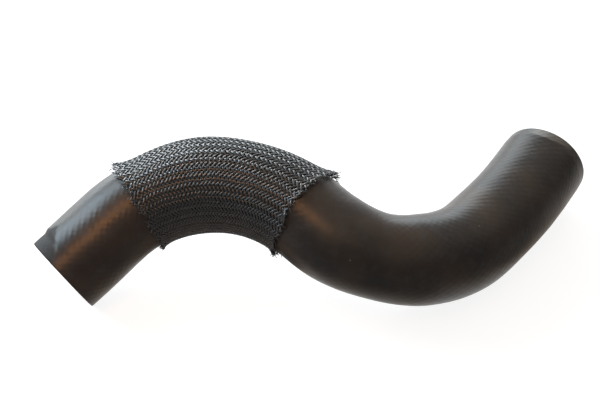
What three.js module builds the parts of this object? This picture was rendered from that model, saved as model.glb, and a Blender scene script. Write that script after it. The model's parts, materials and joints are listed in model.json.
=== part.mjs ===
// Charge air hose: one moulded rubber tube with two bends, each open end made to push over a
// pipe of 50 mm, and a cut length of braided sleeve slipped over the first bend against chafing.
// Millimetres, +Z up. The hose lies as it comes to rest on a level surface.

import * as THREE from 'three';
import { ConvexHull } from 'three/addons/math/ConvexHull.js';
import { mergeVertices } from 'three/addons/utils/BufferGeometryUtils.js';

// Hose bore, wall and ends
const boreDiameter = 50;
const wallThickness = 5;
const edgeBreak = 0.8;
const clampSeatLength = 11;
const clampSeatDepth = 0.9;
const clampSeatRamp = 2.5;

// Centreline, in order from the end with the clamp seat
const leg1Length = 48;
const bend1Radius = 98;
const bend1Angle = 84;
const leg2Length = 9;
const bend2Radius = 82;
const bend2Angle = 87;
const leg3Length = 98;
const leg3Bow = 12; // degrees that the last leg goes on turning, the same way as bend 2
const bendClocking = 151; // degrees about the hose from the inside of bend 1 to that of bend 2

// Uneven wrap of the wall: how far the outside stands above or below its nominal radius
const leg1Swell = -0.5;
const waistSwell = -0.5;
const bend2Swell = 0.9;
const waistAfterBend1 = 54;
const waistReach = 34;

// Braided sleeve
const sleeveAfterLeg1 = 21; // from the start of bend 1 to the first cut end
const sleeveLength = 119;
const sleeveClearance = 0.5;
const slackInside = 0.8; // how much further the sleeve stands off half way along, inside the bend
const slackOutside = 1.4;
const sleeveWall = 1.6;
const ridgeDepth = 0.8;
const strandsEachWay = 60;
const floatPitch = 2.9; // length of hose from one crossing yarn to the next
const cutTeeth = 0.35; // how deep the teeth of a cut end are, as a share of a ridge's zigzag
const cutTaper = 8; // length over which the zigzag settles to those teeth
const flareLength = 9;
const flareInside = 1.2; // how far a cut end springs off the hose inside the bend
const flareOutside = 4.0;
const liningStep = 12;

// Faceting
const hoseSegments = 32;
const bendStep = 7; // degrees of bend from one ring of facets to the next

// The side that the hose lies on: across both, along the first leg, towards the inside of bend 1
const lyingSide = new THREE.Vector3(0.86, -0.4, 0.32);
const lyingSearch = 25; // degrees either way in which the settled side is looked for

const boreRadius = boreDiameter / 2;
const outerRadius = boreRadius + wallThickness;

// A centreline of straight legs and round bends. Each stretch keeps the frame that it starts
// from: y runs along the hose, z points to the inside of bend 1 and x lies across both.
class Centreline {
  constructor() {
    this.stretches = [];
    this.length = 0;
    this.end = new THREE.Matrix4();
  }

  leg(length) {
    this.add({ length, steps: 1, move: (along) => new THREE.Matrix4().makeTranslation(0, along, 0) });
  }

  bend(radius, degrees, clocking) {
    const turn = THREE.MathUtils.degToRad(clocking);
    const axis = new THREE.Vector3(Math.cos(turn), 0, -Math.sin(turn));
    const move = (along) => {
      const angle = along / radius;
      const sideways = radius * (1 - Math.cos(angle));
      const matrix = new THREE.Matrix4().makeRotationAxis(axis, angle);
      return matrix.setPosition(
        sideways * Math.sin(turn),
        radius * Math.sin(angle),
        sideways * Math.cos(turn),
      );
    };
    const length = radius * THREE.MathUtils.degToRad(degrees);
    this.add({ length, steps: Math.ceil(degrees / bendStep), move });
  }

  add(stretch) {
    this.stretches.push({ ...stretch, start: this.length, frame: this.end });
    this.end = this.end.clone().multiply(stretch.move(stretch.length));
    this.length += stretch.length;
  }

  // The frame of the hose at a station, which is its length of centreline from the first end
  frameAt(station) {
    const reached = this.stretches.filter((stretch) => stretch.start <= station);
    const stretch = reached.at(-1) ?? this.stretches[0];
    return stretch.frame.clone().multiply(stretch.move(station - stretch.start));
  }

  // Stations strictly between two others at which a ring of facets stands
  stationsBetween(from, to) {
    const rings = this.stretches.flatMap(({ start, length, steps }) =>
      Array.from({ length: steps }, (_, step) => start + (length * step) / steps),
    );
    return rings.filter((station) => station > from && station < to);
  }
}

const centreline = new Centreline();
centreline.leg(leg1Length);
centreline.bend(bend1Radius, bend1Angle, 0);
const bend1End = centreline.length;
centreline.leg(leg2Length);
centreline.bend(bend2Radius, bend2Angle, bendClocking);
centreline.bend(leg3Length / THREE.MathUtils.degToRad(leg3Bow), leg3Bow, bendClocking);

const sleeveStart = leg1Length + sleeveAfterLeg1;
const sleeveEnd = sleeveStart + sleeveLength;
const waistStation = bend1End + waistAfterBend1;

// Radius of the hose outside its clamp seat. It swells from the first leg to the second bend,
// with a waist between the two.
function hoseRadiusAt(station) {
  const rise = THREE.MathUtils.smoothstep(station, leg1Length, bend1End);
  const waist = 1 - THREE.MathUtils.smoothstep(Math.abs(station - waistStation), 0, waistReach);
  const swell = THREE.MathUtils.lerp(leg1Swell, bend2Swell, rise);
  return outerRadius + THREE.MathUtils.lerp(swell, waistSwell, waist);
}

// Turn a closed wall profile (radius, station) about a straight axis, let adjust() move each
// point by its column and row, and carry the result onto the centreline.
function turnOnCentreline(profile, segments, adjust = () => {}) {
  const geometry = new THREE.LatheGeometry(profile, segments);
  const position = geometry.getAttribute('position');
  for (let index = 0; index < position.count; index += 1) {
    const column = Math.floor(index / profile.length) % segments;
    const row = index % profile.length;
    const ring = {
      turn: (column / segments) * 2 * Math.PI,
      radius: profile[row].x,
      station: profile[row].y,
    };
    adjust(ring, column, row);
    const point = new THREE.Vector3(
      ring.radius * Math.sin(ring.turn),
      0,
      ring.radius * Math.cos(ring.turn),
    );
    point.applyMatrix4(centreline.frameAt(ring.station));
    position.setXYZ(index, point.x, point.y, point.z);
  }
  geometry.deleteAttribute('normal');
  geometry.deleteAttribute('uv');
  const closed = mergeVertices(geometry);
  closed.computeVertexNormals();
  return closed;
}

function hoseGeometry() {
  const seatRadius = hoseRadiusAt(0) - clampSeatDepth;
  const seatEnd = clampSeatLength + clampSeatRamp;
  const { length } = centreline;
  const farEdge = length - edgeBreak;
  const onHose = (station) => new THREE.Vector2(hoseRadiusAt(station), station);
  const onBore = (station) => new THREE.Vector2(boreRadius, station);
  const outside = centreline.stationsBetween(seatEnd, farEdge).map(onHose);
  const inside = centreline.stationsBetween(edgeBreak, farEdge).reverse().map(onBore);
  const profile = [
    new THREE.Vector2(boreRadius + edgeBreak, 0),
    new THREE.Vector2(seatRadius - edgeBreak, 0),
    new THREE.Vector2(seatRadius, edgeBreak),
    new THREE.Vector2(seatRadius, clampSeatLength),
    onHose(seatEnd),
    ...outside,
    onHose(farEdge),
    new THREE.Vector2(hoseRadiusAt(length) - edgeBreak, length),
    new THREE.Vector2(boreRadius + edgeBreak, length),
    onBore(farEdge),
    ...inside,
    onBore(edgeBreak),
    new THREE.Vector2(boreRadius + edgeBreak, 0),
  ];
  return turnOnCentreline(profile, hoseSegments);
}

function distanceToCut(station) {
  return Math.min(station - sleeveStart, sleeveEnd - station);
}

// How far the sleeve stands off the hose beyond its clearance: slack half way along, and sprung
// open near its cut ends, more on the outside of the bend.
function sleeveStandOff(station, turn) {
  const along = THREE.MathUtils.clamp((station - sleeveStart) / sleeveLength, 0, 1);
  const nearness = THREE.MathUtils.clamp(1 - distanceToCut(station) / flareLength, 0, 1);
  const outside = (1 - Math.cos(turn)) / 2;
  const slack = THREE.MathUtils.lerp(slackInside, slackOutside, outside);
  const flare = THREE.MathUtils.lerp(flareInside, flareOutside, outside);
  return slack * Math.sin(Math.PI * along) ** 2 + flare * nearness ** 2;
}

// The share of its full zigzag that a ridge has, which is less beside a cut end
function zigzagShare(station) {
  return THREE.MathUtils.lerp(cutTeeth, 1, Math.min(1, distanceToCut(station) / cutTaper));
}

// The braid shows as ridges that zigzag round the sleeve, one for each crossing yarn. Yarns of
// the two ways lie in columns side by side, so each ridge turns back at every column.
function sleeveGeometry() {
  const rows = 2 * Math.round(sleeveLength / floatPitch);
  const tooth = (cutTeeth * floatPitch) / 2;
  const firstRidge = sleeveStart + tooth;
  const lastRidge = sleeveEnd - tooth;
  const outside = Array.from({ length: rows + 1 }, (_, row) => {
    const station = THREE.MathUtils.lerp(firstRidge, lastRidge, row / rows);
    const groove = row % 2 === 1 ? ridgeDepth : 0;
    return new THREE.Vector2(hoseRadiusAt(station) + sleeveClearance + sleeveWall - groove, station);
  });
  const liningSteps = Math.ceil(sleeveLength / liningStep);
  const lining = Array.from({ length: liningSteps + 1 }, (_, step) => {
    const station = THREE.MathUtils.lerp(lastRidge, firstRidge, step / liningSteps);
    return new THREE.Vector2(hoseRadiusAt(station) + sleeveClearance, station);
  });
  const profile = [...outside, ...lining, outside[0]];
  return turnOnCentreline(profile, strandsEachWay, (ring, column) => {
    const zigzag = (zigzagShare(ring.station) * floatPitch) / 2;
    ring.station += column % 2 === 0 ? -zigzag : zigzag;
    ring.radius += sleeveStandOff(ring.station, ring.turn);
  });
}

function finish(colour, roughness) {
  return new THREE.MeshStandardMaterial({ color: colour, roughness, metalness: 0 });
}

function part(name, geometry, material) {
  const mesh = new THREE.Mesh(geometry, material);
  mesh.name = name;
  return mesh;
}

function cornersOf(geometry) {
  const position = geometry.getAttribute('position');
  return Array.from({ length: position.count }, (_, index) =>
    new THREE.Vector3().fromBufferAttribute(position, index),
  );
}

// Centre of mass of a closed solid: the mean of the centres of the tetrahedra that its facets
// make with the origin, each weighted by its signed volume.
function centreOfMass(geometry) {
  const corners = cornersOf(geometry);
  const index = geometry.getIndex();
  const centre = new THREE.Vector3();
  let volume = 0;
  for (let first = 0; first < index.count; first += 3) {
    const [a, b, c] = [0, 1, 2].map((step) => corners[index.getX(first + step)]);
    const tetrahedron = a.dot(b.clone().cross(c));
    centre.addScaledVector(a.clone().add(b).add(c), tetrahedron / 4);
    volume += tetrahedron;
  }
  return centre.divideScalar(volume);
}

// The outward direction of the side that the hose settles on: of the flats of its convex hull
// near lyingSide, the one that its centre of mass comes lowest over.
function settledSide(points, centre) {
  const hull = new ConvexHull().setFromPoints(points);
  const wanted = lyingSide.clone().normalize();
  const limit = THREE.MathUtils.degToRad(lyingSearch);
  const near = hull.faces.filter((face) => face.normal.angleTo(wanted) < limit);
  near.sort((a, b) => b.distanceToPoint(centre) - a.distanceToPoint(centre));
  return near[0].normal.clone();
}

// Lay the group on its settled side with the first leg above the X axis, and put the origin
// under the middle of its box.
function layDown(group, side) {
  const onSide = new THREE.Quaternion().setFromUnitVectors(side, new THREE.Vector3(0, 0, -1));
  const leg1 = new THREE.Vector3(0, 1, 0).applyQuaternion(onSide);
  const heading = new THREE.Quaternion().setFromAxisAngle(
    new THREE.Vector3(0, 0, 1),
    -Math.atan2(leg1.y, leg1.x),
  );
  group.quaternion.copy(heading.multiply(onSide));
  const box = new THREE.Box3().setFromObject(group, true);
  group.position.set(-(box.min.x + box.max.x) / 2, -(box.min.y + box.max.y) / 2, -box.min.z);
}

const hose = part('hose', hoseGeometry(), finish(0x2b2523, 0.55));
const sleeve = part('braided_sleeve', sleeveGeometry(), finish(0x1c1e21, 0.42));

const group = new THREE.Group();
group.name = 'charge_air_hose';
group.add(hose, sleeve);
const everyCorner = [...cornersOf(hose.geometry), ...cornersOf(sleeve.geometry)];
layDown(group, settledSide(everyCorner, centreOfMass(hose.geometry)));

export default group;
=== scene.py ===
"""Looks of a moulded rubber charge air hose with a cut length of braided sleeve on it.

The hose and every strand of the sleeve are surfaces of two parameters, carried along one
centreline in metres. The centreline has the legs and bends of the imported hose, and the two end
faces in the record place it. A station is a length of centreline from the end with the clamp
seat, and a turn is an angle about the hose from the inside of its first bend.
"""

import json
import logging
import math
from dataclasses import dataclass, field
from enum import Enum
from functools import reduce

import bpy
import numpy as np
from mathutils import Matrix, Vector


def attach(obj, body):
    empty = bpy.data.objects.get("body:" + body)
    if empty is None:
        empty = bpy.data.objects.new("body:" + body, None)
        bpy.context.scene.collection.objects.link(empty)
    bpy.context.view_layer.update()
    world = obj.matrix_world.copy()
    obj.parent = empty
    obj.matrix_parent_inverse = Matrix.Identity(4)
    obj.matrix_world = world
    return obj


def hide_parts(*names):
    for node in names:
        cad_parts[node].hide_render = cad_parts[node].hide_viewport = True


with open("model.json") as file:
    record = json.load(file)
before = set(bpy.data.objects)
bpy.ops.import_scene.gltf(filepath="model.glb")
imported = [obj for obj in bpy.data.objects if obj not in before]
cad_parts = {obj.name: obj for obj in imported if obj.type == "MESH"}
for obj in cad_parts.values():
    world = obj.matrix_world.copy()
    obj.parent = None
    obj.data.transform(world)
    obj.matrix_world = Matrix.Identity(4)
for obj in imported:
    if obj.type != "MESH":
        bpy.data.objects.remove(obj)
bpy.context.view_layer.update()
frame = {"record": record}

BODY = "root"
UV_MAP = "Surface"
FULL_TURN = 2 * math.pi
MM = 0.001
WHITE = (1.0, 1.0, 1.0)
QUAD_COLUMNS = np.array([[0, 1, 1, 0]])  # how many columns on each corner of a quad lies

Socket = bpy.types.NodeSocket
Input = float | tuple | Socket

log = logging.getLogger("charge_air_hose")


def smooth_step(value: np.ndarray, low: float, high: float) -> np.ndarray:
    """Rise from 0 at low to 1 at high, as 3 t^2 - 2 t^3.

    Args:
        value: Where to take the step.
        low: Where it starts.
        high: Where it ends.

    Returns:
        The step's height for each value.
    """
    share = np.clip((value - low) / (high - low), 0.0, 1.0)
    return share * share * (3.0 - 2.0 * share)


def lerp(first: np.ndarray, second: np.ndarray, share: np.ndarray) -> np.ndarray:
    """Go from first to second as share goes from 0 to 1."""
    return first + (second - first) * share


def unit(vector: np.ndarray) -> np.ndarray:
    """Scale vectors, whose parts are the last axis, to length 1."""
    return vector / np.linalg.norm(vector, axis=-1, keepdims=True)


def add_object(name: str, data: bpy.types.ID) -> bpy.types.Object:
    """Make an object of its data at the origin, and link it into the scene.

    Args:
        name: The object's name.
        data: The mesh, lamp or camera that it shows.

    Returns:
        The object.
    """
    made = bpy.data.objects.new(name, data)
    bpy.context.scene.collection.objects.link(made)
    return made


@dataclass(frozen=True)
class Wave:
    """A slow wave over the hose, height sin(angle), with a whole number of crests round it."""

    height: float
    number: int
    length: float
    shift: float

    def angle(self, station: np.ndarray, turn: np.ndarray) -> np.ndarray:
        """Angle of the wave: number turn + 2 pi station / length + shift."""
        return self.number * turn + FULL_TURN * station / self.length + self.shift


@dataclass(frozen=True)
class Stretch:
    """A straight leg of the centreline, or a round bend where it has a radius."""

    length: float
    radius: float = math.inf
    clocking: float = 0.0

    @classmethod
    def bend(cls, radius: float, degrees: float, clocking: float = 0.0) -> "Stretch":
        """Make a round bend.

        Args:
            radius: Bend radius of the centreline.
            degrees: How far the hose turns.
            clocking: Turn of the inside of the bend, in degrees.

        Returns:
            The bend.
        """
        return cls(radius * math.radians(degrees), radius, math.radians(clocking))

    def travel(self, along: np.ndarray) -> tuple[np.ndarray, np.ndarray]:
        """Carry the frame at the start of the stretch along it.

        A leg moves it by (0, along, 0). A bend turns it by angle a = along / radius about the
        axis k = (cos c, 0, -sin c), c being the clocking, by Rodrigues' formula
        1 + sin(a) K + (1 - cos(a)) K K, where K is the cross product with k.

        Args:
            along: Distances from the start of the stretch.

        Returns:
            The places and the turned frames, whose columns are the axes.
        """
        place = np.zeros((len(along), 3))
        if math.isinf(self.radius):
            place[:, 1] = along
            return place, np.broadcast_to(np.eye(3), (len(along), 3, 3))
        angle = along / self.radius
        cos_c = math.cos(self.clocking)
        sin_c = math.sin(self.clocking)
        aside = self.radius * (1.0 - np.cos(angle))
        place[:, 0] = aside * sin_c
        place[:, 1] = self.radius * np.sin(angle)
        place[:, 2] = aside * cos_c
        cross = np.array([[0.0, sin_c, 0.0], [-sin_c, 0.0, -cos_c], [0.0, cos_c, 0.0]])
        sine = np.sin(angle)[:, None, None]
        versine = (1.0 - np.cos(angle))[:, None, None]
        return place, np.eye(3) + sine * cross + versine * (cross @ cross)


@dataclass(frozen=True)
class HoseSizes:
    """Sizes of the hose in metres and degrees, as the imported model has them."""

    bore_radius: float = 25 * MM
    wall: float = 5 * MM
    edge_break: float = 0.8 * MM
    seat_length: float = 11 * MM
    seat_depth: float = 0.9 * MM
    seat_ramp: float = 2.5 * MM
    leg_1: float = 48 * MM
    bend_1_radius: float = 98 * MM
    bend_1_angle: float = 84
    leg_2: float = 9 * MM
    bend_2_radius: float = 82 * MM
    bend_2_angle: float = 87
    leg_3: float = 98 * MM
    leg_3_bow: float = 12
    clocking: float = 151
    leg_1_swell: float = -0.5 * MM
    waist_swell: float = -0.5 * MM
    bend_2_swell: float = 0.9 * MM
    waist_after_bend_1: float = 54 * MM
    waist_reach: float = 34 * MM

    def stretches(self) -> list[Stretch]:
        """List the legs and bends in order from the end with the clamp seat.

        Returns:
            The five stretches. The last is a leg with a slight bow, so it is a bend too.
        """
        bow_radius = self.leg_3 / math.radians(self.leg_3_bow)
        return [
            Stretch(self.leg_1),
            Stretch.bend(self.bend_1_radius, self.bend_1_angle),
            Stretch(self.leg_2),
            Stretch.bend(self.bend_2_radius, self.bend_2_angle, self.clocking),
            Stretch.bend(bow_radius, self.leg_3_bow, self.clocking),
        ]

    def outer_radius(self, station: np.ndarray) -> np.ndarray:
        """Radius of the outside: it swells over bend 1, with a waist in the first half of bend 2.

        Args:
            station: Lengths of centreline.

        Returns:
            The radius at each station.
        """
        bend_1_end = self.leg_1 + self.bend_1_radius * math.radians(self.bend_1_angle)
        swell = lerp(
            self.leg_1_swell, self.bend_2_swell, smooth_step(station, self.leg_1, bend_1_end)
        )
        from_waist = np.abs(station - bend_1_end - self.waist_after_bend_1)
        waist = 1.0 - smooth_step(from_waist, 0.0, self.waist_reach)
        return self.bore_radius + self.wall + lerp(swell, self.waist_swell, waist)


class Centreline:
    """The line that the hose follows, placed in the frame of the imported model."""

    def __init__(self, sizes: HoseSizes, mounts: list[dict]) -> None:
        """Join the stretches end to end and put them where the record's end faces are.

        Args:
            sizes: The hose's sizes.
            mounts: The record's mounts: the face of the clamp seat's end, then the plain end's.
        """
        self.stretches = sizes.stretches()
        self.starts = np.cumsum([0.0] + [s.length for s in self.stretches])
        self.length = float(self.starts[-1])
        self.frames = [(np.zeros(3), np.eye(3))]
        for stretch in self.stretches:
            origin, axes = self.frames[-1]
            place, turned = stretch.travel(np.array([stretch.length]))
            self.frames.append((origin + axes @ place[0], axes @ turned[0]))
        self.turned, self.origin = self._placement(sizes, mounts)

    def _placement(self, sizes: HoseSizes, mounts: list[dict]) -> tuple[np.ndarray, np.ndarray]:
        """Turn the centreline's two end directions onto those of the end faces.

        The seat's end face is measured at the middle of its wall, on the inside of bend 1.

        Args:
            sizes: The hose's sizes.
            mounts: The record's two mounts.

        Returns:
            The axes and the origin of the first stretch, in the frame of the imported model.
        """
        seat, plain = mounts
        here = self._square(self.frames[0][1][:, 1], self.frames[-1][1][:, 1])
        there = self._square(-np.array(seat["axis"]), np.array(plain["axis"]))
        turned = there @ here.T
        seat_radius = sizes.outer_radius(np.zeros(1))[0] - sizes.seat_depth
        wall_middle = (sizes.bore_radius + seat_radius) / 2
        return turned, np.array(seat["pos_m"]) - wall_middle * turned[:, 2]

    @staticmethod
    def _square(first: np.ndarray, second: np.ndarray) -> np.ndarray:
        """Make a square frame of two directions.

        Args:
            first: The direction that is kept.
            second: Another direction.

        Returns:
            The first direction, the one square to it in their plane, and their normal.
        """
        first = unit(first)
        normal = unit(np.cross(first, second))
        return np.stack([first, np.cross(normal, first), normal], axis=1)

    def frames_at(self, station: np.ndarray) -> tuple[np.ndarray, np.ndarray]:
        """Work out the hose's frame at each station. Past an end, the last stretch goes on.

        Args:
            station: A flat array of lengths of centreline.

        Returns:
            The places, and the axes as columns: across, along and to the inside of bend 1.
        """
        place = np.zeros((len(station), 3))
        axes = np.zeros((len(station), 3, 3))
        which = np.searchsorted(self.starts, station, "right") - 1
        which = np.clip(which, 0, len(self.stretches) - 1)
        for number, stretch in enumerate(self.stretches):
            here = which == number
            origin, turned = self.frames[number]
            moved, bent = stretch.travel(station[here] - self.starts[number])
            place[here] = moved @ turned.T + origin
            axes[here] = turned @ bent
        return place @ self.turned.T + self.origin, self.turned @ axes

    def surface(
        self, station: np.ndarray, turn: np.ndarray, radius: np.ndarray
    ) -> tuple[np.ndarray, np.ndarray]:
        """Place points round the centreline: centre + radius (sin(turn) x + cos(turn) z).

        Args:
            station: Length of centreline of each point.
            turn: Angle of each point about the hose.
            radius: Distance of each point from the centreline.

        Returns:
            The points and the outward directions there, each with a last axis of 3.
        """
        station, turn, radius = np.broadcast_arrays(station, turn, radius)
        centre, axes = self.frames_at(station.ravel())
        angle = turn.ravel()[:, None]
        outward = np.sin(angle) * axes[:, :, 0] + np.cos(angle) * axes[:, :, 2]
        point = centre + radius.ravel()[:, None] * outward
        shape = station.shape + (3,)
        return point.reshape(shape), outward.reshape(shape)


@dataclass
class Surface:
    """A mesh in the making: points, faces of like kinds, a UV map and point attributes."""

    points: np.ndarray
    faces: list[np.ndarray]
    corner_uv: np.ndarray
    attributes: dict[str, np.ndarray]

    def piece(self, name: str) -> bpy.types.Object:
        """Put the surface into a new object at the origin.

        Args:
            name: The object's name.

        Returns:
            The object, linked into the scene and shaded smooth.
        """
        mesh = bpy.data.meshes.new(name)
        loops = np.concatenate([group.ravel() for group in self.faces]).astype(np.int32)
        sides = np.concatenate([np.full(len(group), group.shape[1]) for group in self.faces])
        starts = np.concatenate([[0], np.cumsum(sides)[:-1]]).astype(np.int32)
        mesh.vertices.add(len(self.points))
        mesh.vertices.foreach_set("co", self.points.astype(np.float32).ravel())
        mesh.loops.add(len(loops))
        mesh.loops.foreach_set("vertex_index", loops)
        mesh.polygons.add(len(starts))
        mesh.polygons.foreach_set("loop_start", starts)
        mesh.polygons.foreach_set("use_smooth", np.ones(len(starts), bool))
        uv_map = mesh.uv_layers.new(name=UV_MAP)
        uv_map.uv.foreach_set("vector", self.corner_uv.astype(np.float32).ravel())
        for label, values in self.attributes.items():
            stored = mesh.attributes.new(label, "FLOAT", "POINT")
            stored.data.foreach_set("value", values.astype(np.float32).ravel())
        mesh.update(calc_edges=True)
        mesh.validate()
        return add_object(name, mesh)


def wrapped_quads(tubes: int, rows: int, columns: int, close_rows: bool) -> np.ndarray:
    """Number the quads of tubes whose columns close round on themselves.

    Args:
        tubes: How many like tubes there are.
        rows: Rings of points along a tube.
        columns: Points in a ring.
        close_rows: Whether the last ring joins the first.

    Returns:
        The quads' corners, as (tube, row, column, 4) flattened to (quads, 4).
    """
    row = np.arange(rows if close_rows else rows - 1)[:, None]
    column = np.arange(columns)[None, :]
    next_row = (row + 1) % rows
    next_column = (column + 1) % columns
    quad = np.stack(
        [
            row * columns + column,
            row * columns + next_column,
            next_row * columns + next_column,
            next_row * columns + column,
        ],
        axis=-1,
    )
    first = (np.arange(tubes) * rows * columns)[:, None, None, None]
    return (quad[None] + first).reshape(-1, 4)


class NodeTree:
    """The node tree of a material or the world, with short calls that add and join nodes."""

    def __init__(self, owner: bpy.types.Material | bpy.types.World) -> None:
        """Empty a node tree, and give it texture coordinates.

        Args:
            owner: The material or the world whose tree it is.
        """
        owner.use_nodes = True
        self.owner = owner
        self.tree = owner.node_tree
        self.tree.nodes.clear()
        self.coordinates = self.node("TexCoord").outputs

    def node(
        self, kind: str, inputs: dict[str | int, Input] | None = None, **settings: str
    ) -> bpy.types.Node:
        """Add a node.

        Args:
            kind: Blender's name of the node, after ShaderNode.
            inputs: Plain values or other nodes' sockets, by the name or number of the input.
            settings: The node's own settings.

        Returns:
            The node.
        """
        made = self.tree.nodes.new(f"ShaderNode{kind}")
        for name, value in settings.items():
            setattr(made, name, value)
        for name, value in (inputs or {}).items():
            self.feed(made.inputs[name], value)
        return made

    def feed(self, socket: Socket, value: Input) -> None:
        """Give an input a plain value, or link another node's socket to it.

        Args:
            socket: The input.
            value: The value. A colour comes without its alpha.
        """
        if isinstance(value, Socket):
            self.tree.links.new(value, socket)
        elif socket.type == "RGBA":
            socket.default_value = (*value, 1.0)
        else:
            socket.default_value = value

    def math(self, operation: str, *values: Input) -> Socket:
        """Work out one of Blender's math operations."""
        return self.node("Math", dict(enumerate(values)), operation=operation).outputs["Value"]

    def chain(self, operation: str, *values: Input) -> Socket:
        """Join values one after the other by an operation of two."""
        return reduce(lambda first, second: self.math(operation, first, second), values)

    def times(self, *values: Input) -> Socket:
        """Multiply values."""
        return self.chain("MULTIPLY", *values)

    def plus(self, *values: Input) -> Socket:
        """Add values."""
        return self.chain("ADD", *values)

    def apart(self, first: Input, second: Input) -> Socket:
        """Work out how far apart two values are."""
        return self.math("ABSOLUTE", self.math("SUBTRACT", first, second))

    def ramp(
        self,
        value: Input,
        low: float,
        high: float,
        at_low: Input = 0.0,
        at_high: Input = 1.0,
        style: str = "SMOOTHSTEP",
    ) -> Socket:
        """Map value from the range low to high onto another range, clamped.

        Args:
            value: What is mapped.
            low: The value that gives at_low.
            high: The value that gives at_high.
            at_low: Result at low.
            at_high: Result at high.
            style: Blender's name of the way between.

        Returns:
            The result.
        """
        inputs = {
            "Value": value,
            "From Min": low,
            "From Max": high,
            "To Min": at_low,
            "To Max": at_high,
        }
        return self.node("MapRange", inputs, interpolation_type=style).outputs["Result"]

    def mix(self, share: Input, first: Input, second: Input) -> Socket:
        """Mix two colours.

        Args:
            share: How much of the second there is.
            first: The first colour.
            second: The second colour.

        Returns:
            The mixed colour.
        """
        node = self.node("Mix", {"Factor": share}, data_type="RGBA")
        sockets = [socket for socket in node.inputs if socket.type == "RGBA"]
        for socket, colour in zip(sockets, (first, second)):
            self.feed(socket, colour)
        return next(socket for socket in node.outputs if socket.type == "RGBA")

    def noise(self, size: float, detail: float = 2.0, vector: Socket | None = None) -> Socket:
        """Add smooth noise.

        Args:
            size: Rough size of its spots in metres.
            detail: How many finer layers it has.
            vector: Where it is taken; the object's own place if not given.

        Returns:
            The noise, from 0 to 1 about 0.5.
        """
        vector = vector or self.coordinates["Object"]
        inputs = {"Vector": vector, "Scale": 1.0 / size, "Detail": detail}
        return self.node("TexNoise", inputs).outputs["Fac"]

    def attribute(self, name: str) -> Socket:
        """Read a point attribute of the mesh."""
        return self.node("Attribute", attribute_name=name).outputs["Fac"]

    def surface_map(self) -> tuple[Socket, Socket]:
        """Read the surface's UV map.

        Returns:
            The share of the way round or across, and the share of the way along.
        """
        uv = self.node("UVMap", uv_map=UV_MAP).outputs["UV"]
        split = self.node("SeparateXYZ", {"Vector": uv}).outputs
        return split["X"], split["Y"]

    def tangent(self) -> Socket:
        """Find the direction in which the first share of the surface's UV map grows."""
        return self.node("Tangent", direction_type="UV_MAP", uv_map=UV_MAP).outputs["Tangent"]

    def principled(
        self, inputs: dict[str, Input], bumps: list[tuple[Input, float]]
    ) -> bpy.types.Material:
        """End a material with a Principled surface.

        Args:
            inputs: The surface's inputs by name.
            bumps: Layers of bump, each with a height and how far in metres a height of 1 stands.

        Returns:
            The material.
        """
        normal = {}
        for height, depth in bumps:
            bump = self.node("Bump", {"Height": height, "Distance": depth, **normal})
            normal = {"Normal": bump.outputs["Normal"]}
        shader = self.node("BsdfPrincipled", {**inputs, **normal})
        self.node("OutputMaterial", {"Surface": shader.outputs["BSDF"]})
        return self.owner


@dataclass(frozen=True)
class EndPatch:
    """A patch at one end of the hose, which reaches less far along on each side. It serves for the
    scuffed clamp seat and for the painted reflection by the plain rim.

    With the distance from the end, r = distance + slope |turn - middle| + ragged (noise - 1/2),
    turns being shares of a full one. The patch fades out as r goes from one reach to the other.
    """

    middle: float
    full_reach: float
    last_reach: float
    slope: float
    ragged: float
    ragged_size: float

    def share(self, nodes: NodeTree, turn: Socket, distance: Socket) -> Socket:
        """Find the patch.

        Args:
            nodes: The material in the making.
            turn: Share of a full turn.
            distance: Length of centreline from the rubbed end.

        Returns:
            1 in the patch and 0 elsewhere.
        """
        sideways = nodes.times(nodes.apart(turn, self.middle), self.slope)
        noise = nodes.math("SUBTRACT", nodes.noise(self.ragged_size), 0.5)
        reached = nodes.plus(distance, sideways, nodes.times(noise, self.ragged))
        return nodes.ramp(reached, self.full_reach, self.last_reach, 1.0, 0.0)


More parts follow.
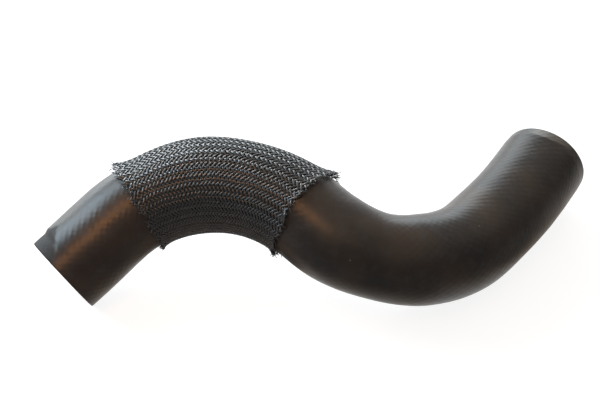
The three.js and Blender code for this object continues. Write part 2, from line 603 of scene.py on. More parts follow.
@dataclass(frozen=True)
class RubberFinish:
    """Satin moulded rubber, near black with a brown cast, with the imprint of its wrapping.

    A range holds what a ramp takes after its value: low, high and, unless they are 0 and 1,
    the results there.
    """

    dark: tuple = (0.0185, 0.0150, 0.0132)
    brown: tuple = (0.040, 0.0270, 0.0185)
    bloom: tuple = (0.040, 0.040, 0.041)
    # painted reflection: pale brown-grey for the light mirrored by the facet at the plain rim
    rim_reflection_colour: tuple = (0.105, 0.092, 0.074)
    scuffed: tuple = (0.008, 0.008, 0.009)
    fleck: tuple = (0.16, 0.14, 0.11)
    cut_face: tuple = (0.02, 0.018, 0.017)
    cord_end: tuple = (0.16, 0.15, 0.13)
    ior: float = 1.42
    roughness: float = 0.33
    mottle_roughness: float = 0.16
    cut_roughness: float = 0.25
    scuff_roughness: float = 0.4
    brown_size: float = 45 * MM
    brown_range: tuple = (0.35, 0.7)
    mottle_size: float = 6 * MM
    mottle_depth: float = 0.08 * MM
    bloom_range: tuple = (0.45, 0.75, 0.0, 0.35)
    grain_size: float = 0.7 * MM
    grain_depth: float = 0.026 * MM
    wraps_round: int = 34
    wrap_pitch: float = 5.6 * MM
    wrap_depth: float = 0.03 * MM
    wrap_patch_sizes: tuple = (60 * MM, 85 * MM)
    wrap_patch_range: tuple = (0.38, 0.62, 0.15, 1.0)
    wrap_gap_size: float = 7 * MM
    wrap_gap_range: tuple = (0.35, 0.65, 0.4, 1.0)
    streak_radius: float = 30 * MM
    streak_width: float = 3 * MM
    streak_length: float = 26 * MM
    streak_depth: float = 0.11 * MM
    scuff: EndPatch = EndPatch(
        middle=228 / 360, full_reach=18 * MM, last_reach=22 * MM,
        slope=160 * MM, ragged=8 * MM, ragged_size=3 * MM,
    )
    scuff_share: float = 0.6
    scratch_size: float = 1.6 * MM
    scratch_depth: float = 0.2 * MM
    # where the painted reflection by the plain rim lies
    rim_reflection_patch: EndPatch = EndPatch(
        middle=225 / 360, full_reach=9 * MM, last_reach=10 * MM,
        slope=43 * MM, ragged=3 * MM, ragged_size=4 * MM,
    )
    rim_reflection_middle: float = 234 / 360
    rim_reflection_side_range: tuple = (0.055, 0.1, 1.0, 0.0)
    rim_reflection_noise_size: float = 2.5 * MM
    rim_reflection_noise_range: tuple = (0.2, 0.7, 0.55, 0.95)
    fleck_spacing: float = 9 * MM
    fleck_range: tuple = (0.03, 0.07, 1.0, 0.0)
    fleck_rarity: float = 0.9
    cords_round: int = 84
    cord_ring_range: tuple = (0.05, 0.1, 1.0, 0.0)
    cord_bead_range: tuple = (-0.2, 0.6)

    def material(self, length: float) -> bpy.types.Material:
        """Build the rubber.

        Args:
            length: Length of the hose's centreline.

        Returns:
            The material. It reads the hose's UV map and its cut and depth attributes.
        """
        nodes = NodeTree(bpy.data.materials.new("hose_rubber"))
        turn, along = nodes.surface_map()
        station = nodes.times(along, length)
        mottle = nodes.noise(self.mottle_size, detail=3.0)
        scuffed = self.scuff.share(nodes, turn, station)
        cut = nodes.attribute("cut")
        colour = self.dark
        for share, other in (
            (nodes.ramp(nodes.noise(self.brown_size), *self.brown_range), self.brown),
            (nodes.ramp(mottle, *self.bloom_range), self.bloom),
            (self._flecks(nodes), self.fleck),
            # painted reflection by the plain rim, pale where its facet mirrors the lamps
            (self._rim_reflection(nodes, turn, nodes.math("SUBTRACT", length, station)), self.rim_reflection_colour),
            (nodes.times(scuffed, self.scuff_share), self.scuffed),
            (cut, self._cut_face(nodes, turn)),
        ):
            colour = nodes.mix(share, colour, other)
        rough = nodes.plus(
            nodes.times(mottle, self.mottle_roughness),
            nodes.times(cut, self.cut_roughness),
            nodes.times(scuffed, self.scuff_roughness),
            self.roughness - self.mottle_roughness / 2,
        )
        scratches = nodes.times(scuffed, nodes.noise(self.scratch_size, detail=3.0))
        bumps = [
            (self._imprint(nodes, turn, station), self.wrap_depth),
            (self._streaks(nodes, turn, station), self.streak_depth),
            (mottle, self.mottle_depth),
            (scratches, self.scratch_depth),
            (nodes.noise(self.grain_size, detail=3.0), self.grain_depth),
        ]
        inputs = {"Base Color": colour, "Roughness": rough, "IOR": self.ior}
        return nodes.principled(inputs, bumps)

    def _imprint(self, nodes: NodeTree, turn: Socket, station: Socket) -> Socket:
        """Work out the imprint of the reinforcement: two crossing families of helices.

        Each family is sin(2 pi (wraps turn +- station / pitch)). The two fade in and out over
        the hose on their own.

        Args:
            nodes: The material in the making.
            turn: Share of a full turn.
            station: Length of centreline.

        Returns:
            The height of the imprint, from -2 where two troughs cross to 2 where crests do.
        """
        around = nodes.times(turn, self.wraps_round * FULL_TURN)
        lengthwise = nodes.times(station, FULL_TURN / self.wrap_pitch)
        heights = []
        for operation, size in zip(("ADD", "SUBTRACT"), self.wrap_patch_sizes):
            wave = nodes.math("SINE", nodes.math(operation, around, lengthwise))
            patches = nodes.ramp(nodes.noise(size, detail=1.0), *self.wrap_patch_range)
            gaps = nodes.ramp(nodes.noise(self.wrap_gap_size), *self.wrap_gap_range)
            heights.append(nodes.times(wave, patches, gaps))
        return nodes.plus(*heights)

    def _streaks(self, nodes: NodeTree, turn: Socket, station: Socket) -> Socket:
        """Work out the faint marks round the hose that its wrapping leaves, as stretched noise.

        The noise is taken at (cos, sin) of the turn, as wide as the hose measured in streak
        lengths, and at the station measured in streak widths, so that it closes round the hose.

        Args:
            nodes: The material in the making.
            turn: Share of a full turn.
            station: Length of centreline.

        Returns:
            The height of the marks, from 0 to 1.
        """
        angle = nodes.times(turn, FULL_TURN)
        reach = self.streak_radius / self.streak_length
        inputs = {
            "X": nodes.times(nodes.math("COSINE", angle), reach),
            "Y": nodes.times(nodes.math("SINE", angle), reach),
            "Z": nodes.times(station, 1.0 / self.streak_width),
        }
        place = nodes.node("CombineXYZ", inputs).outputs["Vector"]
        return nodes.noise(1.0, detail=1.0, vector=place)

    def _rim_reflection(self, nodes: NodeTree, turn: Socket, from_rim: Socket) -> Socket:
        """Find the pale patch at the plain rim, which ends sharply along the hose: a painted
        reflection of the lamps on the sloping facet there.

        Args:
            nodes: The material in the making.
            turn: Share of a full turn.
            from_rim: Length of centreline from the plain rim.

        Returns:
            How much of the painted reflection there is, from 0 to 1.
        """
        sides = nodes.ramp(nodes.apart(turn, self.rim_reflection_middle), *self.rim_reflection_side_range)
        # painted reflection, broken up by noise
        patchy = nodes.ramp(nodes.noise(self.rim_reflection_noise_size, detail=3.0), *self.rim_reflection_noise_range)
        return nodes.times(self.rim_reflection_patch.share(nodes, turn, from_rim), sides, patchy)

    def _flecks(self, nodes: NodeTree) -> Socket:
        """Scatter a few pale flecks of dust: the middles of some cells of a Voronoi pattern.

        Args:
            nodes: The material in the making.

        Returns:
            1 in a fleck and 0 elsewhere.
        """
        inputs = {"Vector": nodes.coordinates["Object"], "Scale": 1 / self.fleck_spacing}
        cells = nodes.node("TexVoronoi", inputs).outputs
        near = nodes.ramp(cells["Distance"], *self.fleck_range)
        split = nodes.node("SeparateColor", {"Color": cells["Color"]}).outputs
        return nodes.times(near, nodes.math("GREATER_THAN", split["Red"], self.fleck_rarity))

    def _cut_face(self, nodes: NodeTree, turn: Socket) -> Socket:
        """Colour the cut ends: rubber with a ring of cut reinforcement cords in mid wall.

        Args:
            nodes: The material in the making.
            turn: Share of a full turn.

        Returns:
            The colour.
        """
        ring = nodes.ramp(nodes.apart(nodes.attribute("depth"), 0.5), *self.cord_ring_range)
        beads = nodes.math("SINE", nodes.times(turn, self.cords_round * FULL_TURN))
        cords = nodes.times(ring, nodes.ramp(beads, *self.cord_bead_range))
        return nodes.mix(cords, self.cut_face, self.cord_end)


@dataclass(frozen=True)
class YarnFinish:
    """Black polyester yarn, whose gloss stretches across its filaments as on a brushed surface."""

    black: tuple = (0.004, 0.004, 0.0044)
    grey: tuple = (0.009, 0.0093, 0.0102)
    ior: float = 1.76
    roughness: float = 0.31
    scuff_roughness: float = 0.12
    scuff_size: float = 0.5 * MM
    scuff_depth: float = 0.008 * MM
    stretched: float = 0.92
    patch_size: float = 12 * MM
    filaments: int = 3
    filament_depth: float = 0.01 * MM

    def material(self) -> bpy.types.Material:
        """Build the yarn.

        Returns:
            The material. It reads the strands' UV map and their tone attribute.
        """
        nodes = NodeTree(bpy.data.materials.new("sleeve_braid"))
        scuff = nodes.noise(self.scuff_size)
        grey = nodes.times(nodes.attribute("tone"), nodes.noise(self.patch_size))
        rough = nodes.plus(
            nodes.times(scuff, self.scuff_roughness), self.roughness - self.scuff_roughness / 2
        )
        across, _ = nodes.surface_map()
        groove = nodes.math("COSINE", nodes.times(across, self.filaments * FULL_TURN))
        inputs = {
            "Base Color": nodes.mix(grey, self.black, self.grey),
            "Roughness": rough,
            "IOR": self.ior,
            "Anisotropic": self.stretched,
            "Tangent": nodes.tangent(),
        }
        return nodes.principled(inputs, [(groove, self.filament_depth), (scuff, self.scuff_depth)])


@dataclass(frozen=True)
class RubberHose:
    """The moulded hose: outside, bore and both cut ends as one closed surface."""

    sizes: HoseSizes
    line: Centreline
    finish: RubberFinish
    columns: int = 192
    broad_step: float = 1.6 * MM
    fine_step: float = 0.4 * MM
    bore_step: float = 4 * MM
    past_seat: float = 2 * MM
    before_crease: float = 1 * MM
    lip_steps: int = 4
    face_steps: int = 5
    seat_side: float = 210
    seat_least: float = 0.08
    seat_extra: float = 1.6
    seat_sharpness: int = 8
    seat_ease_in: float = 1.5 * MM
    seat_ease_out: float = 1 * MM
    rim_fall: float = 0.25 * MM
    crease_fall: float = 1.0 * MM
    crease_side: float = 215
    fall_length: float = 9 * MM
    waves: tuple = (
        Wave(0.10 * MM, 2, 130 * MM, 0.4),
        Wave(0.08 * MM, 3, -76 * MM, 2.1),
        Wave(0.05 * MM, 5, 47 * MM, 4.0),
        Wave(0.03 * MM, 8, -23 * MM, 1.2),
    )

    def seat_recess(self, station: np.ndarray, turn: np.ndarray) -> np.ndarray:
        """Depth of the clamp seat, which is pressed in deeper on one side.

        It is depth (least + extra c^sharpness), where c is (1 + cos(turn - side)) / 2, up to
        the seat's end, and ramps out there.

        Args:
            station: Lengths of centreline.
            turn: Angles about the hose.

        Returns:
            How far the outside is pressed in.
        """
        sizes = self.sizes
        ramp_start = sizes.seat_length - self.seat_ease_in
        ramp_end = sizes.seat_length + sizes.seat_ramp + self.seat_ease_out
        inside = 1.0 - smooth_step(station, ramp_start, ramp_end)
        nearness = (1.0 + np.cos(turn - math.radians(self.seat_side))) / 2
        extra = self.seat_extra * nearness**self.seat_sharpness
        return sizes.seat_depth * (self.seat_least + extra) * inside

    def outside(self, station: np.ndarray, turn: np.ndarray) -> np.ndarray:
        """Radius of the outside with its seat and its slow waves.

        It falls smoothly to the plain rim, and on one side straight from a crease, as deep as
        fall max(cos(turn - side), 0).

        Args:
            station: Lengths of centreline.
            turn: Angles about the hose.

        Returns:
            The radius.
        """
        length = self.line.length
        crease = length - self.fall_length
        fall = self.rim_fall * smooth_step(station, crease, length)
        creased = np.maximum(np.cos(turn - math.radians(self.crease_side)), 0.0)
        past_crease = np.clip((station - crease) / self.fall_length, 0.0, 1.0)
        fall = fall + self.crease_fall * creased * past_crease
        waves = sum(wave.height * np.sin(wave.angle(station, turn)) for wave in self.waves)
        return self.sizes.outer_radius(station) - self.seat_recess(station, turn) + waves - fall

    def rows(self) -> tuple[np.ndarray, np.ndarray, np.ndarray]:
        """List the rings of points round the wall, from the bore's lip over the outside and back.

        A ring lies at share of the way from bore to outside, less an edge break at both, and
        proud of that by some of the edge break. Lips are quarter rounds in an angle a from 0
        to 90 degrees: sin(a) and 1 - cos(a) of the edge break.

        Returns:
            Each ring's share of the wall, how far it is proud, and its station.
        """
        edge = self.sizes.edge_break
        length = self.line.length
        fine = self.fine_step
        angle = np.linspace(0.0, math.pi / 2, self.lip_steps + 1)
        face = np.linspace(0.0, 1.0, self.face_steps + 1)[1:-1]
        fine_end = self.sizes.seat_length + self.sizes.seat_ramp + self.past_seat
        rim_start = length - self.fall_length - self.before_crease
        outside = np.concatenate(
            [
                np.arange(edge + fine, fine_end, fine),
                np.arange(fine_end, rim_start, self.broad_step),
                np.arange(rim_start, length - edge - fine / 2, fine),
            ]
        )
        bore = np.arange(length - edge - self.bore_step, edge + self.bore_step / 2, -self.bore_step)
        inner_lip = edge * (1.0 - np.sin(angle))
        outer_lip = edge * (1.0 - np.cos(angle))
        parts = [
            (0.0, -edge * np.cos(angle), inner_lip),
            (face, 0.0, 0.0),
            (1.0, edge * np.sin(angle), outer_lip),
            (1.0, edge, outside),
            (1.0, edge * np.sin(angle[::-1]), length - outer_lip[::-1]),
            (face[::-1], 0.0, length),
            (0.0, -edge * np.cos(angle[::-1]), length - inner_lip[::-1]),
            (0.0, -edge, bore),
        ]
        joined = [np.broadcast_arrays(*part) for part in parts]
        share, proud, station = (np.concatenate(kind) for kind in zip(*joined))
        return share, proud, station

    def surface(self) -> Surface:
        """Work out the closed surface of the hose.

        Returns:
            The surface, with attributes for its cut faces and the depth in its wall.
        """
        share, proud, station = (kind[:, None] for kind in self.rows())
        turn = np.arange(self.columns)[None, :] / self.columns * FULL_TURN
        edge = self.sizes.edge_break
        inner = self.sizes.bore_radius + edge
        outer = self.outside(station, turn) - edge
        point, _ = self.line.surface(station, turn, lerp(inner, outer, share) + proud)
        rows = len(station)
        quads = wrapped_quads(1, rows, self.columns, close_rows=True)
        column = np.tile(np.arange(self.columns), rows)[:, None] + QUAD_COLUMNS
        along = (station[:, 0] / self.line.length)[quads // self.columns]
        corner_uv = np.stack([column / self.columns, along], axis=-1)
        on_face = np.abs(proud) < edge
        marks = {"cut": on_face * np.ones_like(turn), "depth": share * np.ones_like(turn)}
        return Surface(point.reshape(-1, 3), [quads], corner_uv.reshape(-1, 2), marks)

    def build(self) -> bpy.types.Object:
        """Make the hose and dress it.

        Returns:
            The hose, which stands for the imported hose.
        """
        piece = self.surface().piece("rubber_hose")
        piece.data.materials.append(self.finish.material(self.line.length))
        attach(piece, BODY)
        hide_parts("hose")
        return piece


class Hand(Enum):
    """Which way a strand winds round the hose."""

    RIGHT = 1
    LEFT = -1


@dataclass(frozen=True)
class SleeveSizes:
    """Sizes of the braided sleeve in metres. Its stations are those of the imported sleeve."""

    start: float = 69 * MM
    length: float = 119 * MM
    strands_each_way: int = 60
    float_pitch: float = 2.9 * MM
    strand_width: float = 1.3 * MM
    strand_thickness: float = 0.6 * MM
    weave_rise: float = 0.36 * MM
    weave_squareness: float = 1.6
    clearance: float = 0.15 * MM
    slack_outside: float = 2.2 * MM
    slack_inside: float = 0.4 * MM
    slack_middle: float = 43 * MM
    slack_reach: float = 26 * MM
    flare_length: float = 13 * MM
    flare_inside: float = 1.2 * MM
    flare_outside: float = 3.0 * MM
    flare_past_cut: float = 1.3
    ragged: float = 0.5 * MM
    dip: float = 2.8 * MM
    dip_turn: float = 275
    dip_sharpness: int = 6
    wander_length: float = 14 * MM
    wander_at_cut: float = 2.2
    wander_lag: float = 1.3
    sprung_length: float = 7 * MM
    sprung_least: float = -0.2 * MM
    sprung_most: float = 0.9 * MM
    sprung_aside: float = 0.9 * MM

    @property
    def end(self) -> float:
        """Station of the second cut end."""
        return self.start + self.length

    @property
    def winding(self) -> float:
        """Turn of a strand for each metre of station: 2 pi / (strands pitch).

        Floats of one column are a float pitch apart, and over that length a strand winds round
        to where its neighbour of the same way was.
        """
        return FULL_TURN / (self.strands_each_way * self.float_pitch)

    def from_cut(self, station: np.ndarray) -> np.ndarray:
        """Length of centreline from the nearer cut end."""
        along = station - self.start
        return np.minimum(along, self.length - along)


@dataclass(frozen=True)
class FraySizes:
    """Sizes of the loose filaments at the cut ends, and how far they scatter.

    Lengths and the thickness are in metres, a lane in strand widths, and spread and curl in
    lengths of the filament.
    """

    filaments: int = 3
    steps: int = 7
    thickness: float = 0.36 * MM
    inside_strand: float = 0.25
    lane: float = 0.28
    least_length: float = 0.3 * MM
    length_shape: float = 2.0
    length_scale: float = 0.55 * MM
    lane_spread: float = 0.35
    spread: float = 0.45
    middle_curl: float = 0.15
    curl: float = 0.5
    least_tone: float = 0.4


@dataclass
class Strands:
    """Centre lines of like strands with their directions, each an array (strand, step, 3)."""

    centre: np.ndarray
    side: np.ndarray
    top: np.ndarray
    ahead: np.ndarray
    tone: np.ndarray

    @classmethod
    def follow(cls, centre: np.ndarray, upward: np.ndarray, tone: np.ndarray) -> "Strands":
        """Square up the directions along centre lines.

        Args:
            centre: The centre lines.
            upward: Roughly where the tops of the strands face.
            tone: How grey each strand is, from 0 to 1.

        Returns:
            The strands, whose tops stand square to their length.
        """
        ahead = unit(np.gradient(centre, axis=1))
        side = unit(np.cross(ahead, upward))
        return cls(centre, side, np.cross(side, ahead), ahead, tone)

    def pick(self, chosen: np.ndarray) -> "Strands":
        """Take the strands of the chosen numbers."""
        return Strands(*(kind[chosen] for kind in vars(self).values()))


@dataclass
class BraidedSleeve:
    """The sleeve: every strand of a braid that goes over two and under two, and its frayed ends."""

    sizes: SleeveSizes
    fray: FraySizes
    hose: HoseSizes
    line: Centreline
    finish: YarnFinish
    steps: int = 206
    pieces_each_way: int = 2
    band: tuple = (
        (-1.0, 0.0), (-0.84, 0.66), (-0.44, 0.92), (0.0, 1.0), (0.44, 0.92),
        (0.84, 0.66), (1.0, 0.0), (0.5, -0.9), (-0.5, -0.9),
    )
    filament: tuple = ((1, 0), (0.5, -0.87), (-0.5, -0.87), (-1, 0), (-0.5, 0.87), (0.5, 0.87))
    wander: tuple = (
        Wave(0.20 * MM, 3, 41 * MM, 0.3),
        Wave(0.16 * MM, 7, -23 * MM, 1.9),
        Wave(0.12 * MM, 13, 14 * MM, 4.4),
        Wave(0.08 * MM, 22, -9 * MM, 2.6),
    )
    random: np.random.Generator = field(default_factory=lambda: np.random.default_rng(31))

    def stand_off(self, station: np.ndarray, turn: np.ndarray) -> np.ndarray:
        """How far the middle of the braid stands off the hose.

        It is the clearance and half the braid, plus slack that fades along the sleeve as
        exp(-(distance / reach)^2), plus a flare (1 - distance to the cut / flare length)^2 at
        both ends. Slack and flare go from their inside to their outside value with the turn.

        Args:
            station: Lengths of centreline.
            turn: Angles about the hose.

        Returns:
            The distance from the hose's outside.
        """
        sizes = self.sizes
        outside = (1.0 - np.cos(turn)) / 2
        off_middle = (station - sizes.start - sizes.slack_middle) / sizes.slack_reach
        slack = lerp(sizes.slack_inside, sizes.slack_outside, outside) * np.exp(-(off_middle**2))
        near = np.clip(1.0 - sizes.from_cut(station) / sizes.flare_length, 0, sizes.flare_past_cut)
        flare = lerp(sizes.flare_inside, sizes.flare_outside, outside) * near**2
        lift = sizes.clearance + sizes.weave_rise + sizes.strand_thickness / 2
        return lift + slack + flare

    def drift(self, station: np.ndarray, turn: np.ndarray) -> tuple[np.ndarray, np.ndarray]:
        """Let the braid wander a little, as one with all its strands, more near the cut ends.

        The shift along the hose is the sum of height sin(angle) over the waves, and the twist
        that of height cos(angle + lag shift), over the hose's radius.

        Args:
            station: Lengths of centreline.
            turn: Angles about the hose.

        Returns:
            How far each point shifts along the hose, and how far it turns.
        """
        sizes = self.sizes
        near = np.clip(1.0 - sizes.from_cut(station) / sizes.wander_length, 0.0, 1.0)
        loose = 1.0 + sizes.wander_at_cut * near**2
        shift = np.zeros(station.shape)
        twist = np.zeros(station.shape)
        for wave in self.wander:
            angle = wave.angle(station, turn)
            shift += wave.height * np.sin(angle)
            twist += wave.height * np.cos(sizes.wander_lag * wave.shift + angle)
        return shift * loose, twist * loose / (self.hose.bore_radius + self.hose.wall)

    def strands(self, hand: Hand) -> Strands:
        """Lay out all strands that wind one way.

        Strand number i has turn 2 pi i / strands +- winding station. It lies on the braid's
        middle surface, raised by rise tanh(q cos(p)) / tanh(q), where q is the squareness and p
        is turn strands / 2 - pi / 4. The other way's strands are lowered by as much, so that
        each goes over two and under two and the floats stand in columns along the hose.

        Args:
            hand: Which way they wind.

        Returns:
            The strands.
        """
        sizes = self.sizes
        count = sizes.strands_each_way
        squareness = sizes.weave_squareness
        ragged = self.random.normal(0.0, sizes.ragged, (2, count, 1))
        first = np.arange(count)[:, None] / count * FULL_TURN
        last = first + hand.value * sizes.winding * sizes.length
        to_dip = np.maximum(np.cos(last - math.radians(sizes.dip_turn)), 0.0)
        start = sizes.start + ragged[0]
        end = sizes.end + ragged[1] - sizes.dip * to_dip**sizes.dip_sharpness
        station = lerp(start, end, np.linspace(0.0, 1.0, self.steps)[None, :])
        turn = first + hand.value * sizes.winding * (station - sizes.start)
        wave = np.cos(turn * count / 2 - math.pi / 4)
        rise = sizes.weave_rise * np.tanh(squareness * wave) / math.tanh(squareness)
        lift = self.stand_off(station, turn) + hand.value * rise
        to_cut = np.minimum(station - start, end - station)
        sprung = np.clip(1.0 - to_cut / sizes.sprung_length, 0.0, 1.0) ** 2
        sprung_lift = self.random.uniform(sizes.sprung_least, sizes.sprung_most, (count, 1))
        lift = lift + sprung * sprung_lift
        shift, twist = self.drift(station, turn)
        radius = self.hose.outer_radius(station) + lift
        twist = twist + sprung * self.random.normal(0.0, sizes.sprung_aside, (count, 1)) / radius
        centre, outward = self.line.surface(station + shift, turn + twist, radius)
        tone = np.broadcast_to(self.random.uniform(0.0, 1.0, (count, 1)), station.shape)
        return Strands.follow(centre, outward, tone)

    def frayed(self, strands: Strands) -> Strands:
        """Let the filaments of both ends of each strand spread and curl.

        A filament leaves the cut in its own lane of the strand, and goes
        lane + length (t ahead + spread t side + curl t^2 top) for t up to 1, with its own random
        length, spread and curl. It starts at a t below 0, inside the strand.

        Args:
            strands: The strands that end.

        Returns:
            The filaments as strands of their own.
        """
        fray = self.fray
        t = np.linspace(-fray.inside_strand, 1.0, fray.steps)[None, :, None]
        both = []
        for end, sign in ((0, -1.0), (-1, 1.0)):
            kinds = (strands.centre, strands.ahead * sign, strands.side, strands.top)
            root, ahead, side, top = (
                np.repeat(kind[:, end], fray.filaments, axis=0)[:, None, :] for kind in kinds
            )
            count = len(root)
            lane = np.tile(np.linspace(-1, 1, fray.filaments), count // fray.filaments)
            length = self.random.gamma(fray.length_shape, fray.length_scale, count)
            spread = lane * fray.lane_spread + self.random.normal(0.0, fray.spread, count)
            curl = self.random.normal(fray.middle_curl, fray.curl, count)
            off_middle = lane * self.sizes.strand_width * fray.lane
            own = (length + fray.least_length, spread, curl, off_middle)
            length, spread, curl, off_middle = (kind[:, None, None] for kind in own)
            path = root + off_middle * side
            path = path + length * (t * ahead + spread * t * side + curl * t**2 * top)
            both.append((path, top + 0 * path))
        centre, top = (np.concatenate(kind) for kind in zip(*both))
        tone = self.random.uniform(fray.least_tone, 1.0, (len(centre), 1))
        return Strands.follow(centre, top, np.broadcast_to(tone, centre.shape[:2]))

    def swept(self, strands: Strands, section: tuple, width: float, thickness: float) -> Surface:
        """Carry one section along strands.

        A point (x, z) of the section stands at centre + x width / 2 side + z thickness / 2 top.
        Both ends are capped.

        Args:
            strands: The strands.
            section: The section's points, clockwise as seen along the strand.
            width: Width of the section.
            thickness: Thickness of the section.

        Returns:
            The closed surfaces of the strands.
        """
        across, above = (np.array(section) * (width / 2, thickness / 2)).T
        point = (
            strands.centre[:, :, None, :]
            + across[:, None] * strands.side[:, :, None, :]
            + above[:, None] * strands.top[:, :, None, :]
        )
        count, steps, corners, _ = point.shape
        quads = wrapped_quads(count, steps, corners, close_rows=False)
        first = np.arange(count)[:, None] * steps * corners
        ring = np.arange(corners)[None, :]
        caps = np.concatenate([first + ring[:, ::-1], first + (steps - 1) * corners + ring])
        row = (quads // corners) % steps
        column = np.tile(ring[0], count * (steps - 1))[:, None] + QUAD_COLUMNS
        share_across = np.array([x for x, _ in section + section[:1]]) / 2 + 0.5
        quad_uv = np.stack([share_across[column], row / (steps - 1)], axis=-1).reshape(-1, 2)
        corner_uv = np.concatenate([quad_uv, np.zeros((caps.size, 2))])
        tone = np.broadcast_to(strands.tone[:, :, None], point.shape[:3])
        return Surface(point.reshape(-1, 3), [quads, caps], corner_uv, {"tone": tone})

    def build(self) -> list[bpy.types.Object]:
        """Make the sleeve and dress it.

        Returns:
            Its pieces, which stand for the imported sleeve.
        """
        sizes = self.sizes
        fine = self.fray.thickness
        pieces = []
        for hand in Hand:
            strands = self.strands(hand)
            parts = np.array_split(np.arange(sizes.strands_each_way), self.pieces_each_way)
            for number, chosen in enumerate(parts, start=1):
                some = strands.pick(chosen)
                band = self.swept(some, self.band, sizes.strand_width, sizes.strand_thickness)
                pieces.append(band.piece(f"sleeve_strands_{hand.name.lower()}_{number}"))
            filaments = self.swept(self.frayed(strands), self.filament, fine, fine)
            pieces.append(filaments.piece(f"frayed_filaments_{hand.name.lower()}"))
        material = self.finish.material()
        for piece in pieces:
            piece.data.materials.append(material)
            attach(piece, BODY)
            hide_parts("braided_sleeve")
        return pieces


@dataclass(frozen=True)
class SoftBox:
    """A rectangular studio lamp, by its place, what it points at, its width and its height."""

    name: str
    place: tuple
    aim: tuple
    size: tuple
    radiance: float
    colour: tuple
    spread: float = 180

    def build(self) -> bpy.types.Object:
        """Hang the lamp.

        Its power is pi radiance area, which gives that radiance where light spreads to all
        sides. A lamp of less spread sends the same power into a narrower beam.

        Returns:
            The lamp, which the camera doesn't see.
        """
        lamp = bpy.data.lights.new(self.name, "AREA")
        lamp.shape = "RECTANGLE"
        width, height = self.size
        lamp.size = width
        lamp.size_y = height
        lamp.energy = math.pi * self.radiance * width * height
        lamp.color = self.colour
        lamp.spread = math.radians(self.spread)
        made = add_object(self.name, lamp)
        toward = Vector(self.aim) - Vector(self.place)
        turned = toward.to_track_quat("-Z", "Y").to_matrix().to_4x4()
        made.matrix_world = Matrix.Translation(self.place) @ turned
        made.visible_camera = False
        return made


@dataclass(frozen=True)
class Camera:
    """The photograph's viewpoint, by the point that it aims at and its direction in degrees."""

    aim: tuple = (-20.26 * MM, 3.08 * MM, 63.57 * MM)
    azimuth: float = 37.08
    elevation: float = 42.07
    roll: float = 0.42
    distance: float = 1.0402
    field: float = 22.0
    sensor: float = 36.0

    def build(self) -> bpy.types.Object:
        """Place the camera.

        Returns:
            The camera, made the scene's own.
        """
        azimuth, elevation, roll = map(math.radians, (self.azimuth, self.elevation, self.roll))
        level = Vector((math.cos(azimuth), -math.sin(azimuth), 0.0))
        flat = math.cos(elevation)
        back = Vector((-math.sin(azimuth) * flat, -math.cos(azimuth) * flat, math.sin(elevation)))
        upright = back.cross(level)
        right = level * math.cos(roll) + upright * math.sin(roll)
        turned = Matrix((right, back.cross(right), back)).transposed().to_4x4()
        lens = bpy.data.cameras.new("camera")
        lens.sensor_fit = "HORIZONTAL"
        lens.sensor_width = self.sensor
        lens.lens = self.sensor / 2 / math.tan(math.radians(self.field) / 2)
        made = add_object("camera", lens)
        made.matrix_world = Matrix.Translation(Vector(self.aim) + back * self.distance) @ turned
        bpy.context.scene.camera = made
        return made


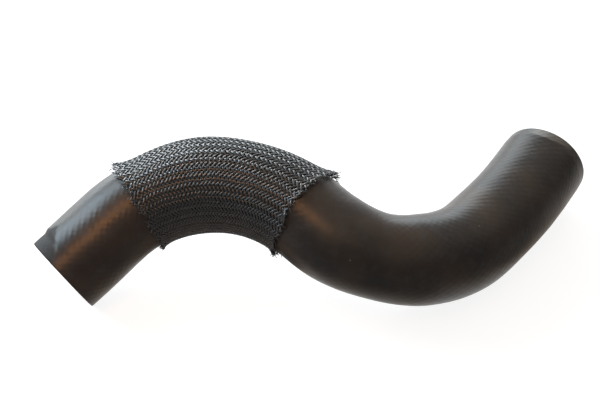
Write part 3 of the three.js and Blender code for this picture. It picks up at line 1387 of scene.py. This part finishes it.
@dataclass(frozen=True)
class Studio:
    """A white floor in a room with windows behind the hose and a dim side in front of it.

    The floor's edge is the line (x, y) on it where mirrors stop seeing its white, and the arch
    is the middle of the painted shade under the sleeve, where mirrors see the floor dark. A rise
    is where a smooth step starts and ends: over the distance from the arch, or over one part of
    the direction into the world. The floor lies just under the lowest point of the hose, below the
    origin.
    """

    floor_size: float = 8.0
    floor_drop: float = 0.8 * MM
    floor_grey: tuple = (0.32, 0.32, 0.32)
    floor_glow: float = 0.85
    edge: tuple = (
        (-0.13, 0.03), (-0.05, -0.06), (0.0, -0.10), (0.04, -0.16), (0.08, -0.14), (0.13, -0.088),
    )
    edge_span: float = 0.2
    edge_softness: float = 0.06
    # painted reflection: the warm glow that mirrors see at the floor's edge, a warm sheen low on
    # the hose
    edge_tint: tuple = (1.0, 0.74, 0.5)
    # painted shade: mirrors see the floor dark around this point, under the arch of the sleeve
    arch: tuple = (-0.06, 0.03, 0.0)
    arch_rise: tuple = (0.035, 0.06)
    front_light: float = 0.22
    back_light: float = 0.6
    back_rise: tuple = (-0.35, 0.45)
    ceiling_light: float = 0.55
    ceiling_tint: tuple = (1.0, 0.9, 0.8)
    ceiling_rise: tuple = (0.4, 0.85)
    lamps: tuple = (
        SoftBox(
            "cool_back_window", place=(-0.444, 0.647, 0.53), aim=(-0.15, 0.07, 0.08),
            size=(0.44, 0.54), radiance=9.0, colour=(0.67, 0.86, 1.0),
        ),
        SoftBox(
            "wide_back_window", place=(0.62, 0.95, 0.42), aim=(0.05, 0.0, 0.06),
            size=(1.2, 0.62), radiance=2.8, colour=(0.86, 0.95, 1.0),
        ),
        SoftBox(
            "small_back_window", place=(0.04, 0.70, 0.56), aim=(-0.04, 0.05, 0.10),
            size=(0.30, 0.36), radiance=15.0, colour=(0.94, 0.98, 1.0),
        ),
        SoftBox(
            "warm_lamp", place=(-0.36, -0.05, 0.51), aim=(-0.17, 0.065, 0.05),
            size=(0.30, 0.28), radiance=0.205, colour=(1.0, 0.36, 0.08), spread=30,
        ),
        SoftBox(
            "wide_warm_lamp", place=(-0.20, -0.15, 0.56), aim=(0.02, -0.03, 0.06),
            size=(0.4, 0.4), radiance=0.04, colour=(1.0, 0.66, 0.40), spread=30,
        ),
        SoftBox(
            "dim_right_wall", place=(0.80, -0.10, 0.72), aim=(0.05, -0.03, 0.05),
            size=(1.0, 1.0), radiance=0.18, colour=(1.0, 0.86, 0.72),
        ),
        SoftBox(
            "low_back_window", place=(-0.04, 0.95, 0.17), aim=(-0.13, 0.07, 0.06),
            size=(0.45, 0.32), radiance=4.0, colour=(0.85, 0.95, 1.0),
        ),
    )

    def floor(self) -> bpy.types.Object:
        """Lay the floor.

        Returns:
            The floor. The camera and mirrors see some of its white as light of its own.
        """
        half = self.floor_size / 2
        corners = [(-half, -half), (half, -half), (half, half), (-half, half)]
        mesh = bpy.data.meshes.new("floor")
        mesh.from_pydata([(x, y, -self.floor_drop) for x, y in corners], [], [(0, 1, 2, 3)])
        nodes = NodeTree(bpy.data.materials.new("floor_white"))
        share = self.seen_share(nodes)
        # painted reflection: the glow turns warm at the edge, where mirrors see it
        tint = nodes.mix(share, self.edge_tint, WHITE)
        strength = nodes.times(share, self.floor_glow)
        glow = nodes.node("Emission", {"Color": tint, "Strength": strength})
        paint = nodes.node("BsdfDiffuse", {"Color": self.floor_grey})
        both = nodes.node("AddShader", {0: paint.outputs["BSDF"], 1: glow.outputs["Emission"]})
        nodes.node("OutputMaterial", {"Surface": both.outputs["Shader"]})
        mesh.materials.append(nodes.owner)
        made = add_object("floor", mesh)
        return made

    def seen_share(self, nodes: NodeTree) -> Socket:
        """Tell rays that see the white from rays that carry light.

        Mirrors see the white behind the hose, and in front of it a dark room. The two part at
        the edge, softly. Under the arch of the sleeve it is dark too, a painted shade where the
        sleeve keeps light off the floor.

        Args:
            nodes: The floor's material in the making.

        Returns:
            1 for camera and transmission rays, a share for glossy rays, and 0 for others.
        """
        place = nodes.coordinates["Object"]
        split = nodes.node("SeparateXYZ", {"Vector": place}).outputs
        past_edge = self.past_edge(nodes, split["X"], split["Y"])
        from_arch = nodes.node("VectorMath", {0: place, 1: self.arch}, operation="DISTANCE")
        # painted shade: mirrors see no white under the arch of the sleeve
        clear = nodes.ramp(from_arch.outputs["Value"], *self.arch_rise)
        behind = nodes.ramp(past_edge, -self.edge_softness, self.edge_softness, 0.0, clear)
        rays = nodes.node("LightPath").outputs
        mirrored = nodes.times(rays["Is Glossy Ray"], behind)
        return nodes.chain("MAXIMUM", rays["Is Camera Ray"], mirrored, rays["Is Transmission Ray"])

    def past_edge(self, nodes: NodeTree, x: Socket, y: Socket) -> Socket:
        """Work out how far a point of the floor lies behind its edge.

        A colour ramp over x holds the edge as grey (y + span) / (2 span).

        Args:
            nodes: The floor's material in the making.
            x: The point's x.
            y: The point's y.

        Returns:
            The point's y less that of the edge.
        """
        span = self.edge_span
        node = nodes.node("ValToRGB", {"Fac": nodes.ramp(x, -span, span, style="LINEAR")})
        ramp = node.color_ramp
        ramp.interpolation = "EASE"
        ramp.elements.remove(ramp.elements[-1])
        for number, corner in enumerate(self.edge):
            along, grey = ((value + span) / (2 * span) for value in corner)
            element = ramp.elements.new(along) if number else ramp.elements[0]
            element.position = along
            element.color = (grey, grey, grey, 1.0)
        edge = nodes.math("MULTIPLY_ADD", node.outputs["Color"], 2 * span, -span)
        return nodes.math("SUBTRACT", y, edge)

    def backdrop(self) -> None:
        """Light the world: dim in front, brighter behind, a warm ceiling, and white to the eye."""
        world = bpy.data.worlds.new("backdrop")
        bpy.context.scene.world = world
        nodes = NodeTree(world)
        direction = nodes.coordinates["Generated"]
        split = nodes.node("SeparateXYZ", {"Vector": direction}).outputs
        walls = nodes.ramp(split["Y"], *self.back_rise, self.front_light, self.back_light)
        height = nodes.ramp(split["Z"], *self.ceiling_rise)
        strength = nodes.node("Mix", {"Factor": height, "A": walls, "B": self.ceiling_light})
        tint = nodes.mix(height, WHITE, self.ceiling_tint)
        room = nodes.node("Background", {"Color": tint, "Strength": strength.outputs["Result"]})
        white = nodes.node("Background", {"Color": WHITE})
        inputs = {
            "Fac": nodes.node("LightPath").outputs["Is Camera Ray"],
            1: room.outputs["Background"],
            2: white.outputs["Background"],
        }
        seen = nodes.node("MixShader", inputs)
        nodes.node("OutputWorld", {"Surface": seen.outputs["Shader"]})

    def build(self) -> None:
        """Set up floor, backdrop, lamps and colour."""
        self.floor()
        self.backdrop()
        for lamp in self.lamps:
            lamp.build()
        bpy.context.scene.view_settings.view_transform = "Standard"


def main() -> None:
    """Build the camera, the studio, the hose and its sleeve."""
    logging.basicConfig(level=logging.INFO, format="%(name)s: %(message)s")
    Camera().build()
    Studio().build()
    sizes = HoseSizes()
    line = Centreline(sizes, frame["record"]["mounts"])
    pieces = [RubberHose(sizes, line, RubberFinish()).build()]
    pieces += BraidedSleeve(SleeveSizes(), FraySizes(), sizes, line, YarnFinish()).build()
    for piece in pieces:
        log.info("%s: %d faces", piece.name, len(piece.data.polygons))


if __name__ == "__main__":
    main()
